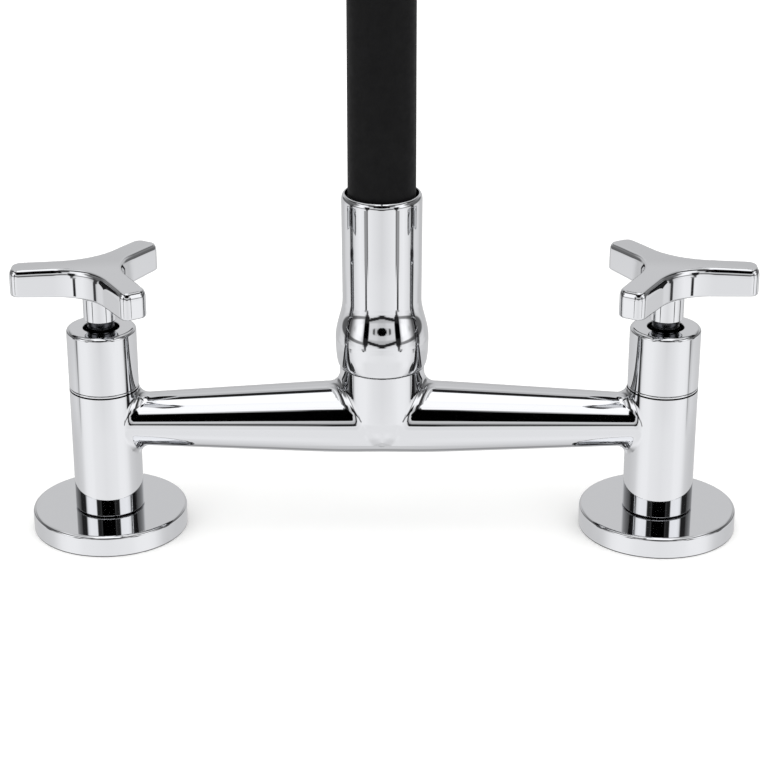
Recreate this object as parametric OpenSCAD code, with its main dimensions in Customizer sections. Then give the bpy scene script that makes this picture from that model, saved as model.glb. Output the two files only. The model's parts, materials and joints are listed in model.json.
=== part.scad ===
// Two-hole bridge faucet for a kitchen sink, with three-arm handles and a
// flexible spout that holds the curve it is bent to.
// Millimetres. X runs along the bridge, Y away from the user, Z up.
// The origin lies on the worktop, midway between the two inlets.

/* [Bridge] */
// distance between the axes of the two inlets
inlet_spacing = 203.2; // [190:0.1:230]
// radius of the two upright pillars
pillar_r = 12.7; // [12.6:0.1:13.4]
// height of the joint between a pillar and its cap
pillar_top = 56.5; // [56.5:0.1:60]
// height of the arm's axis at the pillars
arm_z = 42.4; // [41:0.1:42.4]
// rise of the arm's axis from the pillar to the middle
arm_rise = 1.5; // [0.5:0.1:2.5]
// radius of the arm at the pillar's axis
arm_end_r = 9.1; // [8.6:0.1:9.4]
// radius of the bar at the hub
hub_bar_r = 13.3; // [12.6:0.1:13.6]
// half length of the stretch of bar that doesn't taper
hub_half = 16; // [14:0.5:20]
// radius of the neck that carries the spout
neck_r = 15.3; // [15:0.1:16]
// height of the neck's top
neck_top = 64.6; // [64:0.1:68]
// radius of the fillets between arms and pillars
pillar_fillet = 3.8; // [3:0.1:3.8]
// radius of the fillets between bar and neck
neck_fillet = 4.8; // [4:0.1:5.2]
// radius of the waterway through each arm
water_r = 5; // [4:0.1:5.5]

/* [Flanges and fixings] */
// radius of the round flange on the worktop
flange_r = 28.6; // [27:0.1:32]
// thickness of the flange
flange_t = 8; // [7:0.1:9]
// rounding of the flange's upper edge
flange_edge = 1.2; // [0.6:0.1:1.6]
// width of the metal rim round the seal under the flange
rim_w = 4.6; // [3.5:0.1:5.5]
// thickness of the seal under the flange
seal_t = 2; // [1.5:0.1:2.5]
// radius of the threaded shank through the worktop
shank_r = 10.48; // [10.4:0.01:10.5]
// radius of the shank's waterway
shank_bore = 7; // [6:0.1:7.4]
// length of the shank below the worktop
shank_len = 66; // [62:0.5:80]
// thickness of the worktop that the faucet clamps
worktop_t = 30; // [20:0.5:32]
// radius of the rubber washer under the worktop
washer_r = 19; // [17:0.1:22]
// thickness of the rubber washer
washer_t = 3; // [2:0.1:3.5]
// thickness of the metal washer below it
clamp_t = 1.5; // [1:0.1:2]
// width across the flats of the lock nut
nut_af = 30; // [28:0.1:32]
// thickness of the lock nut
nut_t = 9; // [7:0.1:9.5]

/* [Valves] */
// radius of the cartridge bore in the pillar
bore_r = 9.6; // [9.4:0.05:9.7]
// wall of the cap above the pillar
cap_wall = 1.7; // [1.4:0.1:1.8]
// height of the cap
cap_h = 22.4; // [22:0.1:26]
// thickness of the cap's roof
cap_roof = 2.5; // [2:0.1:3]
// rounding of the cap's upper edge
cap_edge = 1.4; // [0.8:0.1:1.8]
// radius of the hole in the cap's roof
cap_hole = 6.6; // [6.2:0.1:7.2]
// thickness of each ceramic disc
disc_t = 2.6; // [2.4:0.1:2.8]
// radius of the valve stem
stem_r = 4.9; // [4.5:0.05:5]
// width across the flats of the cartridge's hexagon
hex_af = 18; // [17:0.1:18.4]

/* [Handles] */
// reach of each of the three handle arms from the stem's axis
arm_reach = 31.8; // [29:0.1:36]
// width of a handle arm
arm_w = 10; // [9:0.1:11]
// rounding of the arm's end in plan
tip_r = 3.3; // [3:0.1:4]
// radius of the hollow curve between two arms
web_r = 22; // [18:0.1:24]
// thickness of the handle at the ends of its arms
plate_t = 10; // [8:0.1:11]
// rise of the handle's top toward the middle
crown = 1; // [0.5:0.1:2]
// radius of the handle's neck
grip_neck_r = 6.15; // [6:0.05:6.5]
// height of the handle's neck below the arms
grip_neck_h = 10; // [9:0.1:12]
// length of stem seen between the cap and the handle
stem_show = 3.1; // [2:0.1:5]
// angle of the handles away from square when shut
rest_turn = 1; // [0:0.5:10]

/* [Spout base] */
// radius of the sleeve at its waist
sleeve_r = 14.15; // [14.1:0.05:15]
// radius of the sleeve's mouth on the outside
mouth_r = 14.35; // [14.3:0.05:15.2]
// radius of the bulge at the sleeve's foot
bulge_r = 16.75; // [16.2:0.05:17.5]
// height of the sleeve
sleeve_h = 64.6; // [58:0.1:72]
// radius of the bore that the spout turns in
swivel_r = 10; // [9.8:0.05:10.2]

/* [Spout] */
// radius of the rubber-covered hose
hose_r = 12.05; // [11.9:0.05:12.2]
// wall of the rubber cover
cover_wall = 2.25; // [1.8:0.05:2.3]
// wall of the supporting tube and of the flexible core
core_wall = 3; // [2.6:0.1:3.4]
// radius of the water hose inside
water_hose_r = 5.5; // [5:0.1:5.6]
// radius of the spout's bend
bend_r = 100; // [80:1:120]
// height at which the bend begins
bend_z = 402; // [360:1:440]
// length of hose that hangs down before the spray head's sleeve
drop_len = 17; // [10:1:40]

/* [Spray head] */
// length of the sleeve on the spray head
head_sleeve_h = 50; // [44:1:60]
// length of the head's body above the selector ring
head_h = 44; // [40:0.5:56]
// radius of the selector ring
ring_r = 20; // [19.8:0.1:22]
// height of the selector ring
ring_h = 16; // [15:0.1:20]
// number of grip flutes round the selector ring
flutes = 24; // [12:1:30]
// number of nozzles in the outer circle of the spray face
nozzles = 18; // [10:1:20]

/* [Hidden] */
$fa = 6;
$fs = 0.6;

// clearance of a thread or a slip fit, of a running fit, and at rest
thread_gap = 0.05;
run_gap = 0.06;
slip_gap = 0.3;
seal_gap = 0.04;

arm_len = inlet_spacing / 2;
hub_z = arm_z + arm_rise;
arm_tilt = atan(arm_rise / arm_len);
seat_z = arm_z - 10.4;
seat_r = 7;
shank_top = seat_z - 10;
spigot_h = 4;
spigot_r = pillar_r - cap_wall - 2 * thread_gap;
spigot_top = pillar_top + spigot_h;
flange_bore = shank_r + slip_gap;
recess_r = flange_r - rim_w;
nut_z = -worktop_t - washer_t - clamp_t - nut_t;
relief_z = nut_z - 0.8;

cap_top = pillar_top + cap_h;
shell_r = bore_r - 0.4;
cavity_r = shell_r - 1.2;
disc_z = seat_z + 3;
rotor_z = disc_z + disc_t + thread_gap;
cavity_top = seat_z + 15.2;
guide_bore = stem_r + run_gap;
guide_top = cap_top - cap_roof - 1.4;
o_ring_z = guide_top - 6;
stem_groove = stem_r - 1.3;

grip_z = cap_top + stem_show;
plate_z = grip_z + grip_neck_h;
plate_top = plate_z + plate_t;
stem_top = grip_z + 2;
spigot_pin_r = stem_r - 1.1;
pin_top = plate_z + 3;
screw_z = (grip_z + plate_z) / 2;
screw_r = 2;
flat_y = spigot_pin_r - 0.8;

sleeve_z = neck_top + slip_gap;
sleeve_top = sleeve_z + sleeve_h;
sleeve_bore = hose_r + 1.1;
nipple_r = swivel_r - run_gap;
nipple_z = hub_z + 5;
nipple_bore = 4.2;
collar_z = sleeve_z + 0.5;
collar_top = collar_z + 9.6;
clip_z = nipple_z + 1.3;
clip_t = 1.6;
core_r = hose_r - cover_wall - 0.2;
core_bore = core_r - core_wall;
riser_z = collar_z + 3;
riser_top = bend_z - 4;
cover_z = collar_top + 2;
hose_z = riser_z - 8;
ring_seal_r = 1.25;

tip_y = -2 * bend_r;
head_top = bend_z - drop_len;
head_seam = head_top - head_sleeve_h;
ring_top = head_seam - head_h;
face_z = ring_top - ring_h;
journal_r = ring_r - 3.5;
cover_end = head_top - 25;
tip_z = head_seam + 3;
retainer_z = ring_top - 10.4;
journal_z = retainer_z - 2;
head_ring_z = ring_top - 5;
head_ring_r = 0.85;
head_ring_mid = journal_r + run_gap - 2 * seal_gap - head_ring_r;

// which piece is drawn, or all of them

// Shapes that several pieces share.

module tube(outer, inner, z1, z2) {
    difference() {
        translate([0, 0, z1]) cylinder(r = outer, h = z2 - z1);
        translate([0, 0, z1 - 1]) cylinder(r = inner, h = z2 - z1 + 2);
    }
}

module rod(r, z1, z2) {
    translate([0, 0, z1]) cylinder(r = r, h = z2 - z1);
}

module hexagon(af, z1, z2) {
    translate([0, 0, z1]) cylinder(r = af / 2 / cos(30), h = z2 - z1, $fn = 6);
}

// a disc whose upper outside edge is rounded
module rounded_disc(r, edge, z1, z2) {
    translate([0, 0, z1]) rotate_extrude() {
        square([r, z2 - z1 - edge]);
        square([r - edge, z2 - z1]);
        translate([r - edge, z2 - z1 - edge]) circle(r = edge);
    }
}

module o_ring(mid_r, section_r, z) {
    translate([0, 0, z]) rotate_extrude() translate([mid_r, 0]) circle(r = section_r);
}

// a spring ring with a gap in it
module split_ring(outer, inner, z1, z2) {
    difference() {
        tube(outer, inner, z1, z2);
        translate([0, -2, z1 - 1]) cube([outer + 1, 4, z2 - z1 + 2]);
    }
}

module at_left() { translate([-arm_len, 0, 0]) children(); }

module at_right() { translate([arm_len, 0, 0]) children(); }

module both_inlets() {
    at_left() children();
    at_right() children();
}

function arc(c, r, a1, a2, n) =
    [for (i = [0:n]) let (a = a1 + (a2 - a1) * i / n) c + r * [cos(a), sin(a)]];

// The bridge: pillars, arms, hub and neck in one casting.

// runs its children's Z axis along the right arm, down from the hub's centre
module along_arm() {
    translate([0, 0, hub_z]) rotate([0, 90 + arm_tilt, 0]) children();
}

// radius of the bar at a distance from the middle
function bar_r(x) =
    hub_bar_r - (hub_bar_r - arm_end_r) * max(0, x - hub_half) / (arm_len - hub_half);

module arm() {
    along_arm() {
        cylinder(r = hub_bar_r, h = hub_half);
        translate([0, 0, hub_half])
            cylinder(r1 = hub_bar_r, r2 = arm_end_r, h = arm_len - hub_half);
    }
}

// One section through the hollow fillet where a bar along X, of radius rb,
// runs into an upright of radius rp. A ball of radius f rolls in the corner,
// and t is its angle round the bar.
function saddle_section(rb, rp, f, t) =
    let (
        y = (rb + f) * sin(t),
        ball = [sqrt(pow(rp + f, 2) - y * y), y, (rb + f) * cos(t)],
        to_bar = [0, -sin(t), -cos(t)],
        to_upright = [-ball.x, -ball.y, 0] / (rp + f),
        spread = acos(to_bar * to_upright)
    )
    concat(
        [ball + (f + 0.4) * to_bar],
        [for (i = [0.5:4.5]) let (u = i / 5 * spread)
            ball + f * (sin(spread - u) * to_bar + sin(u) * to_upright) / sin(spread)],
        [ball + (f + 0.4) * to_upright,
         ball + (f + 1) * (to_bar + to_upright) / (1 + to_bar * to_upright)]
    );

module saddle(rb, rp, f, t1, t2, steps) {
    closed = t2 - t1 == 360;
    sections = steps + (closed ? 0 : 1);
    points = [for (i = [0:sections - 1])
        each saddle_section(rb, rp, f, t1 + (t2 - t1) * i / steps)];
    n = len(points) / sections;
    skin = [for (i = [0:steps - 1], j = [0:n - 1])
        let (
            a = i * n + j,
            b = i * n + (j + 1) % n,
            c = (i + 1) % sections * n + (j + 1) % n,
            d = (i + 1) % sections * n + j
        )
        each [[a, b, c], [a, c, d]]];
    ends = [[for (j = [n - 1:-1:0]) j], [for (j = [0:n - 1]) steps * n + j]];
    polyhedron(points = points, faces = concat(skin, closed ? [] : ends));
}

module half_bridge() {
    arm();
    at_right() {
        rod(pillar_r - 0.4, flange_t, flange_t + 0.7);
        rod(pillar_r, flange_t + 0.6, pillar_top);
        rod(spigot_r, pillar_top - 1, spigot_top);
        translate([0, 0, arm_z]) mirror([1, 0, 0])
            saddle(bar_r(arm_len - pillar_r), pillar_r, pillar_fillet, 0, 360, 20);
    }
    translate([0, 0, hub_z])
        saddle(bar_r(neck_r + 2), neck_r, neck_fillet, -84, 84, 14);
}

module half_bores() {
    at_right() {
        rod(bore_r, seat_z, spigot_top + 1);
        rod(seat_r, shank_top - 1, seat_z + 1);
        rod(shank_r + thread_gap, flange_t - 1, shank_top);
    }
    along_arm() cylinder(r = water_r, h = arm_len);
}

module bridge_body() {
    color("Silver") difference() {
        union() {
            half_bridge();
            mirror([1, 0, 0]) half_bridge();
            rod(neck_r, hub_z + 3, neck_top);
            translate([0, 0, hub_z + 3]) sphere(r = neck_r);
        }
        half_bores();
        mirror([1, 0, 0]) half_bores();
        rod(swivel_r - 2, hub_z - 6, nipple_z);
        rod(swivel_r, nipple_z - 0.3, neck_top + 1);
        rod(swivel_r + 1.2, clip_z - 0.15, clip_z + clip_t + 0.15);
    }
}

// The fixings that hold it to the worktop.

module flange() {
    color("Gainsboro") difference() {
        rounded_disc(flange_r, flange_edge, 0, flange_t);
        rod(flange_bore, -1, flange_t + 1);
        rod(recess_r, -1, seal_t);
    }
}

module left_flange() { at_left() flange(); }

module right_flange() { at_right() flange(); }

module flange_seals() {
    color("DimGray") both_inlets() tube(recess_r - slip_gap, flange_bore, 0, seal_t);
}

module shank() {
    color("Goldenrod") difference() {
        union() {
            rod(shank_r, relief_z, shank_top);
            rod(shank_r - 1, relief_z - 1.7, relief_z + 0.1);
            rod(shank_r, 0.8 - shank_len, relief_z - 1.6);
            translate([0, 0, -shank_len])
                cylinder(r1 = shank_r - 0.8, r2 = shank_r, h = 0.8);
        }
        rod(shank_bore, -shank_len - 1, shank_top + 1);
    }
}

module left_shank() { at_left() shank(); }

module right_shank() { at_right() shank(); }

module rubber_washers() {
    color("DimGray") both_inlets()
        tube(washer_r, shank_r + 0.4, -worktop_t - washer_t, -worktop_t);
}

module clamp_washers() {
    color("LightSteelBlue") both_inlets()
        tube(washer_r - 1, shank_r + 0.4, nut_z + nut_t, nut_z + nut_t + clamp_t);
}

module lock_nuts() {
    color("Goldenrod") both_inlets() difference() {
        hexagon(nut_af, nut_z, nut_z + nut_t);
        rod(shank_r + thread_gap, nut_z - 1, nut_z + nut_t + 1);
    }
}

// The two quarter-turn valves.

module cap() {
    color("Silver") difference() {
        rounded_disc(pillar_r, cap_edge, pillar_top, cap_top);
        rod(pillar_r - cap_wall, pillar_top - 1, cap_top - cap_roof);
        rod(cap_hole, cap_top - cap_roof - 1, cap_top + 1);
    }
}

module left_cap() { at_left() cap(); }

module right_cap() { at_right() cap(); }

module cartridge() {
    color("Peru") difference() {
        union() {
            rod(shell_r, seat_z + 1, seat_z + 14);
            rod(bore_r - thread_gap, seat_z + 14, spigot_top);
            rod(spigot_r - slip_gap, spigot_top, spigot_top + 1);
            hexagon(hex_af, spigot_top + 1, spigot_top + 5);
            rod(guide_bore + 2.4, spigot_top + 5, guide_top);
        }
        rod(cavity_r, seat_z, cavity_top);
        rod(guide_bore, cavity_top - 1, guide_top + 1);
        // the windows that let the water out into the arm
        for (a = [45, 135]) rotate(a)
            translate([-20, -3.2, rotor_z + 0.8]) cube([40, 6.4, 5.6]);
        // slots that stop the fixed disc from turning
        rotate(90) translate([-20, -1.6, seat_z]) cube([40, 3.2, disc_z + disc_t - seat_z]);
    }
}

module left_cartridge() { at_left() cartridge(); }

module right_cartridge() { at_right() cartridge(); }

module seat_seals() {
    color("DimGray") both_inlets() tube(cavity_r - 0.1, 5.5, seat_z, disc_z);
}

// two quarter openings through a ceramic disc
module quarter_ports(z, turn) {
    for (a = [0, 180]) rotate(a + turn) intersection() {
        rod(cavity_r - 2.2, z - 1, z + disc_t + 1);
        translate([0.8, 0.8, z - 2]) cube([20, 20, disc_t + 4]);
    }
}

module fixed_discs() {
    color("White") both_inlets() difference() {
        union() {
            rod(cavity_r - 0.15, disc_z, disc_z + disc_t);
            rotate(90) intersection() {
                rod(shell_r - 0.1, disc_z, disc_z + disc_t);
                translate([-20, -1.5, disc_z - 1]) cube([40, 3, disc_t + 2]);
            }
        }
        quarter_ports(disc_z, 0);
    }
}

module rotating_disc() {
    color("WhiteSmoke") difference() {
        rod(cavity_r - slip_gap, rotor_z, rotor_z + disc_t);
        quarter_ports(rotor_z, 90);
        rotate(45) translate([-20, -1.6, rotor_z + disc_t - 1.3]) cube([40, 3.2, 3]);
    }
}

module spindle() {
    color("DarkGoldenrod") difference() {
        union() {
            rotate(45) translate([-6, -1.5, rotor_z + disc_t - 1.25]) cube([12, 3, 3.5]);
            rod(3.6, rotor_z + disc_t + 0.1, cavity_top - 2);
            rod(cavity_r - 0.5, cavity_top - 2.2, cavity_top - 0.2);
            rod(stem_r, cavity_top - 0.3, stem_top);
            rod(spigot_pin_r, stem_top - 0.1, pin_top);
        }
        tube(stem_r + 1, stem_groove, o_ring_z - 1, o_ring_z + 1);
        tube(stem_r + 1, stem_r - 0.5, cap_top + 0.6, cap_top + 1.5);
        translate([-10, flat_y, stem_top + 0.2]) cube([20, 20, 30]);
    }
}

module stem_seal() {
    color("DimGray") o_ring((guide_bore + stem_groove) / 2,
        (guide_bore - stem_groove) / 2 - seal_gap, o_ring_z);
}

module left_spindle() { at_left() spindle(); }

module right_spindle() { at_right() spindle(); }

module left_rotating_disc() { at_left() rotating_disc(); }

module right_rotating_disc() { at_right() rotating_disc(); }

module left_stem_seal() { at_left() stem_seal(); }

module right_stem_seal() { at_right() stem_seal(); }

// The handles: three arms with hollow curves between them.

// outline of one arm along X, drawn inward by d, up to the next gap's middle
function arm_outline(d) =
    let (
        h = arm_w / 2 - d,
        tip = arm_reach - d,
        c = tip_r - d,
        web = web_r + d,
        away = (web + h) / sin(60)
    )
    concat(
        arc(away * [cos(60), -sin(60)], web, 120, 90, 4),
        arc([tip - c, c - h], c, -90, 0, 4),
        arc([tip - c, h - c], c, 0, 90, 4),
        [for (i = [0:3]) away * [cos(60), sin(60)]
            + web * [cos(90 + 7.5 * i), -sin(90 + 7.5 * i)]]
    );

function turned(p, a) = [p.x * cos(a) - p.y * sin(a), p.x * sin(a) + p.y * cos(a)];

function star(d) = [for (k = [0:2]) each [for (p = arm_outline(d)) turned(p, 120 * k)]];

module handle_plate() {
    top_in = 1.3;
    top_down = 3;
    levels = concat(
        [[0.7, 0], [0, 0.7]],
        [for (a = [0, 25, 45, 60, 75, 90])
            [top_in * (1 - cos(a)), plate_t - top_down * (1 - sin(a))]]
    );
    n = len(star(0));
    last = len(levels) - 1;
    points = concat(
        [for (l = levels) each [for (p = star(l[0])) [p.x, p.y, l[1]]]],
        [[0, 0, 0], [0, 0, plate_t + crown]]
    );
    floor_centre = len(points) - 2;
    top_centre = len(points) - 1;
    polyhedron(points = points, faces = concat(
        [for (j = [0:last - 1], i = [0:n - 1])
            [j * n + i, (j + 1) * n + i, (j + 1) * n + (i + 1) % n, j * n + (i + 1) % n]],
        [for (i = [0:n - 1]) [floor_centre, i, (i + 1) % n]],
        [for (i = [0:n - 1]) [top_centre, last * n + (i + 1) % n, last * n + i]]
    ));
}

module handle() {
    color("Silver") difference() {
        union() {
            translate([0, 0, plate_z]) rotate(180 + rest_turn) handle_plate();
            rod(grip_neck_r, grip_z + 0.4, plate_z + 2);
            translate([0, 0, grip_z])
                cylinder(r1 = grip_neck_r - 0.4, r2 = grip_neck_r, h = 0.4);
        }
        rod(stem_r + thread_gap, grip_z - 1, stem_top);
        rod(spigot_pin_r + thread_gap, stem_top - 1, pin_top + 0.5);
        translate([0, 0, screw_z]) rotate([-90, 0, 0]) cylinder(r = screw_r, h = 10);
    }
}

module grub_screw() {
    color("DimGray") translate([0, flat_y, screw_z]) rotate([-90, 0, 0]) difference() {
        cylinder(r = screw_r - thread_gap, h = grip_neck_r - flat_y - 0.5);
        translate([0, 0, 1]) cylinder(r = 1.15, h = 10, $fn = 6);
    }
}

module left_handle() { at_left() handle(); }

module right_handle() { at_right() mirror([1, 0, 0]) handle(); }

module left_grub_screw() { at_left() grub_screw(); }

module right_grub_screw() { at_right() grub_screw(); }

// The foot of the spout, which turns in the bridge's neck.

module spout_sleeve() {
    foot_h = 10.2;
    waist_h = 25.4;
    lip = 0.9;
    foot_r = neck_r + 0.1;
    outline = concat(
        [[sleeve_bore, 0], [foot_r, 0]],
        [for (a = [30:20:90])
            [foot_r + (bulge_r - foot_r) * sin(a), foot_h * (1 - cos(a))]],
        [for (t = [0.125:0.125:1])
            [sleeve_r + (bulge_r - sleeve_r) * (1 + cos(180 * t)) / 2,
             foot_h + (waist_h - foot_h) * t]],
        arc([mouth_r - lip, sleeve_h - lip], lip, 0, 80, 3),
        [[sleeve_bore, sleeve_h]]
    );
    color("Silver") translate([0, 0, sleeve_z]) rotate_extrude() polygon(outline);
}

module swivel_nipple() {
    color("Goldenrod") difference() {
        union() {
            rod(nipple_r, nipple_z, collar_z + 0.1);
            rod(sleeve_bore - thread_gap, collar_z, collar_top);
        }
        rod(nipple_bore, nipple_z - 1, collar_top);
        rod(water_hose_r + thread_gap, hose_z, riser_z + 1);
        rod(core_r + thread_gap, riser_z, collar_top + 1);
        tube(nipple_r + 1, swivel_r - 1.4, clip_z, clip_z + clip_t);
        for (z = [clip_z + 4.6, clip_z + 8.4])
            tube(nipple_r + 1, swivel_r - 2 * ring_seal_r, z - 1.6, z + 1.6);
        tube(swivel_r + 3, swivel_r - 1, collar_z - 1, collar_z);
    }
}

module thrust_washer() {
    color("White") tube(swivel_r + 3, swivel_r + 0.1, neck_top + 0.05, collar_z);
}

module swivel_seals() {
    color("DimGray") for (z = [clip_z + 4.6, clip_z + 8.4])
        o_ring(swivel_r - ring_seal_r, ring_seal_r - seal_gap, z);
}

module swivel_clip() {
    color("SlateGray")
        split_ring(swivel_r + 1, swivel_r - 1.35, clip_z + 0.1, clip_z + clip_t - 0.1);
}

// The spout: a rigid riser, a flexible bend and a rubber cover over both.

// a round bar along the spout's path: up, over the bend and down
module path_rod(r, z1, z2) {
    if (z1 < bend_z) rod(r, z1, bend_z);
    translate([0, -bend_r, bend_z]) rotate([90, 0, 90])
        rotate_extrude(angle = 180) translate([bend_r, 0]) circle(r = r);
    if (z2 < bend_z) translate([0, tip_y, 0]) rod(r, z2, bend_z);
}

module riser_tube() {
    color("LightSteelBlue") tube(core_r, core_bore, riser_z, riser_top);
}

module hose_ferrule() {
    color("Goldenrod") tube(sleeve_bore - 0.15, hose_r + 0.05, cover_z + 2, cover_z + 14);
}

module hose_cover() {
    color("Black") difference() {
        path_rod(hose_r, cover_z, cover_end);
        path_rod(hose_r - cover_wall, cover_z - 1, cover_end - 1);
    }
}

module gooseneck_core() {
    color("SlateGray") difference() {
        path_rod(core_r, riser_top, riser_top);
        path_rod(core_bore, riser_top - 1, riser_top - 1);
    }
}

module water_hose() {
    color("LightGray") difference() {
        path_rod(water_hose_r, hose_z, tip_z + 6);
        path_rod(water_hose_r - 1.5, hose_z - 1, tip_z + 5);
    }
}

// The spray head at the free end.

module at_tip() { translate([0, tip_y, 0]) children(); }

module tip_tube() {
    color("LightSteelBlue") at_tip() tube(core_r, core_bore, tip_z, riser_top);
}

module head_sleeve() {
    lip = 0.9;
    outline = concat(
        [[sleeve_bore, 0], [mouth_r + 0.9, 0]],
        [for (t = [0.125:0.125:1])
            [sleeve_r + (mouth_r + 0.9 - sleeve_r) * (1 + cos(180 * t)) / 2,
             head_sleeve_h * 0.4 * t]],
        arc([mouth_r - lip, head_sleeve_h - lip], lip, 0, 80, 3),
        [[sleeve_bore, head_sleeve_h]]
    );
    color("Silver") at_tip() translate([0, 0, head_seam]) rotate_extrude() polygon(outline);
}

module head_body() {
    color("Silver") at_tip() difference() {
        union() {
            rod(sleeve_bore - thread_gap, head_seam - 1, head_seam + 12);
            translate([0, 0, ring_top]) cylinder(
                r1 = ring_r - 0.4, r2 = mouth_r + 0.9, h = head_h);
            rod(journal_r, journal_z, ring_top + 1);
        }
        rod(core_r + thread_gap, tip_z, head_seam + 13);
        rod(water_hose_r + thread_gap, tip_z - 10, tip_z + 1);
        rod(4, tip_z - 30, tip_z);
        rod(6.1, tip_z - 25, tip_z - 10);
        rod(9, journal_z + 6, ring_top + 4);
        translate([0, 0, ring_top + 3])
            cylinder(r1 = ring_r - 4.5, r2 = mouth_r - 2.5, h = head_h - 26);
        rod(7.1, journal_z - 1, ring_top);
        tube(journal_r + 1, journal_r - 1.2, retainer_z - 1.5, retainer_z);
        tube(journal_r + 1, head_ring_mid - head_ring_r - 2 * seal_gap,
            head_ring_z - 1.1, head_ring_z + 1.1);
    }
}

module check_valve() {
    color("White") at_tip() tube(6, 2.5, tip_z - 24, tip_z - 10);
}

module aerator() {
    color("DimGray") at_tip() difference() {
        rod(7, journal_z, journal_z + 5.8);
        for (a = [0:60:359]) rotate(a) translate([4.2, 0, 0])
            rod(1, journal_z - 1, journal_z + 7);
        rod(1.6, journal_z - 1, journal_z + 7);
    }
}

module head_seal() {
    color("DimGray") at_tip()
        o_ring(head_ring_mid, head_ring_r, head_ring_z);
}

module selector_clip() {
    color("SlateGray") at_tip()
        split_ring(journal_r + 1, journal_r - 1.1, retainer_z - 1.4, retainer_z - 0.1);
}

module selector_ring() {
    color("DimGray") at_tip() difference() {
        union() {
            rod(ring_r, face_z + 1, ring_top - 0.3);
            translate([0, 0, face_z])
                cylinder(r1 = ring_r - 1, r2 = ring_r, h = 1);
        }
        rod(journal_r + run_gap, retainer_z - 1, ring_top + 1);
        rod(journal_r + 1.4, face_z - 1, retainer_z);
        for (i = [0:flutes - 1]) rotate(360 / flutes * i)
            translate([ring_r + 0.7, 0, 0]) rod(1.2, face_z - 1, ring_top - 3);
    }
}

module spray_face() {
    color("Black") at_tip() difference() {
        rod(journal_r + 1.4, face_z + 0.4, face_z + 3.2);
        rod(7.4, face_z - 1, face_z + 4);
        for (i = [0:nozzles - 1]) rotate(360 / nozzles * i) {
            translate([15, 0, 0]) rod(0.7, face_z - 1, face_z + 4);
            rotate(180 / nozzles) translate([11.5, 0, 0]) rod(0.7, face_z - 1, face_z + 4);
        }
    }
}

bridge_body();
left_flange();
right_flange();
flange_seals();
left_shank();
right_shank();
rubber_washers();
clamp_washers();
lock_nuts();
left_cap();
right_cap();
left_cartridge();
right_cartridge();
seat_seals();
fixed_discs();
left_handle();
left_spindle();
left_rotating_disc();
left_stem_seal();
left_grub_screw();
right_handle();
right_spindle();
right_rotating_disc();
right_stem_seal();
right_grub_screw();
spout_sleeve();
swivel_nipple();
thrust_washer();
swivel_seals();
swivel_clip();
riser_tube();
hose_ferrule();
hose_cover();
gooseneck_core();
water_hose();
tip_tube();
head_sleeve();
head_body();
check_valve();
aerator();
head_seal();
selector_clip();
selector_ring();
spray_face();
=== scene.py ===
import json
import math
from types import SimpleNamespace

import bpy
import bmesh
import numpy as np
from mathutils import Matrix, Vector


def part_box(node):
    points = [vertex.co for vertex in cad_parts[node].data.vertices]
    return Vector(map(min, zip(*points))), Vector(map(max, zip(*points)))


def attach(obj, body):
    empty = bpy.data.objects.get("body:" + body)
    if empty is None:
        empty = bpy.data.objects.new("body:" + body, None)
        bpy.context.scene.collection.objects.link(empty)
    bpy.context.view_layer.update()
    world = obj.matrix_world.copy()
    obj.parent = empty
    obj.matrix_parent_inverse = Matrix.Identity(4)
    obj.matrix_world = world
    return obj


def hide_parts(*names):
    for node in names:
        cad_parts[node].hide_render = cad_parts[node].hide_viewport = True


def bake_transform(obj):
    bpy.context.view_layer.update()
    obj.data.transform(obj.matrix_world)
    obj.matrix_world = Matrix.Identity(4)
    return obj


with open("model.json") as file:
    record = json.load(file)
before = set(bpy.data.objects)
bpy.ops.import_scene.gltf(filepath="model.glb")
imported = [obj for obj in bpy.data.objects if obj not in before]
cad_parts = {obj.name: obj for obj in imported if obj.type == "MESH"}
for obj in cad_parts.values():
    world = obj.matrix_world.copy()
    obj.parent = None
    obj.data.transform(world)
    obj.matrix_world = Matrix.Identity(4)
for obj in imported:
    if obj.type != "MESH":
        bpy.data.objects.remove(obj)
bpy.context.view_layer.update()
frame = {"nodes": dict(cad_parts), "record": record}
mm = 0.001


def placed(name, data):
    thing = bpy.data.objects.new(name, data)
    bpy.context.collection.objects.link(thing)
    return thing


# The camera stands where the photograph was taken

photoView = {
    "position": (3.685, -759.145, 377.444),  # millimetres
    "pitchDown": 22.910,  # degrees
    "yaw": -2.342,
    "roll": -0.891,
    "focalPixels": 2263.563,
    "framePixels": 768,
    "axisColumn": 307,  # the lens axis meets the picture left of its middle
    "sensor": 36.0,
}


def placeCamera(view):
    pitch, yaw, roll = (math.radians(view[k]) for k in ("pitchDown", "yaw", "roll"))
    forward = Vector((math.sin(yaw) * math.cos(pitch),
                      math.cos(yaw) * math.cos(pitch), -math.sin(pitch)))
    level = Vector((math.cos(yaw), -math.sin(yaw), 0))
    upright = level.cross(forward)
    right = level * math.cos(roll) + upright * math.sin(roll)
    up = upright * math.cos(roll) - level * math.sin(roll)
    data = bpy.data.cameras.new("photoCamera")
    data.sensor_width = view["sensor"]
    data.lens = view["focalPixels"] / view["framePixels"] * view["sensor"]
    data.shift_x = 0.5 - view["axisColumn"] / view["framePixels"]
    data.clip_start, data.clip_end = 0.01, 20
    camera = placed("photoCamera", data)
    camera.matrix_world = Matrix.Translation(Vector(view["position"]) * mm) @ Matrix(
        (right, up, -forward)).transposed().to_4x4()
    bpy.context.scene.camera = camera


placeCamera(photoView)
print("camera placed")


# Nodes and colours

def linear(hexColour):
    values = [int(hexColour[i:i + 2], 16) / 255 for i in (1, 3, 5)]
    return tuple(v / 12.92 if v <= 0.04045 else ((v + 0.055) / 1.055) ** 2.4
                 for v in values) + (1.0,)


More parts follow.
